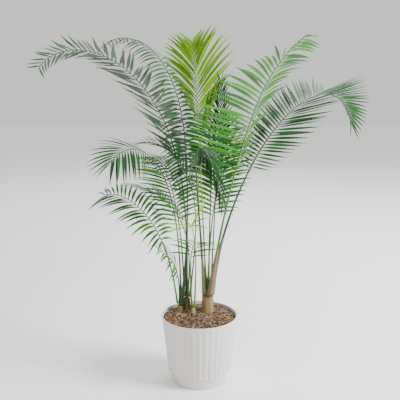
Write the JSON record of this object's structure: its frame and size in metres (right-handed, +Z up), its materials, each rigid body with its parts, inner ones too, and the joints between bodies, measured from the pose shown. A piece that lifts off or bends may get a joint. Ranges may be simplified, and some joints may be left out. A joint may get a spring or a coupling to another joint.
{
  "type": "potted majesty palm",
  "caption": "Indoor majesty palm in a white fluted pot: arching feather-shaped fronds on thin ribs rise from short sheathed stems in bark soil.",
  "frame": {"origin": "centre of the pot's flat underside", "axes": "+Z up along the pot's axis; the front of the plant, as pictured, faces -Y, and +X is to its right"},
  "size_m": [1.2584, 1.2907, 1.2618],
  "materials": {
    "pot": "satin white with fine upright flutes",
    "soil": "rough brown bark mix",
    "stem": "dry ochre fibre with papery sheaths",
    "leaf_lime": "young yellow-green leaf, satin",
    "leaf_mid": "mid green leaf, satin",
    "leaf_deep": "dark green leaf, satin with a pale sheen"
  },
  "bodies": {
    "root": {"frond_back_centre_lower": "leaf_deep", "frond_back_centre_upper": "leaf_deep", "frond_back_left_lower": "leaf_mid", "frond_back_left_upper": "leaf_mid", "frond_back_right_lower": "leaf_mid", "frond_back_right_upper": "leaf_mid", "frond_foot_small": "leaf_mid", "frond_front_droop_lower": "leaf_deep", "frond_front_droop_middle": "leaf_deep", "frond_front_droop_upper": "leaf_deep", "frond_front_lime": "leaf_lime", "frond_front_small": "leaf_mid", "frond_left_arch_lower": "leaf_deep", "frond_left_arch_middle": "leaf_deep", "frond_left_arch_upper": "leaf_deep", "frond_left_back_lower": "leaf_deep", "frond_left_back_upper": "leaf_deep", "frond_left_inner_lower": "leaf_deep", "frond_left_inner_upper": "leaf_deep", "frond_left_low_arch_lower": "leaf_deep", "frond_left_low_arch_upper": "leaf_deep", "frond_left_low_lower": "leaf_mid", "frond_left_low_upper": "leaf_mid", "frond_left_rail": "leaf_deep", "frond_left_small_lower": "leaf_mid", "frond_left_small_upper": "leaf_mid", "frond_right_arch_lower": "leaf_deep", "frond_right_arch_middle": "leaf_deep", "frond_right_arch_upper": "leaf_deep", "frond_right_inner": "leaf_deep", "frond_right_tall": "leaf_mid", "frond_spear": "leaf_lime", "frond_top_young": "leaf_lime", "pot": "pot", "soil": "soil", "stem_front": "stem", "stem_left": "stem", "stem_middle": "stem", "stem_right": "stem"}
  },
  "joints": []
}
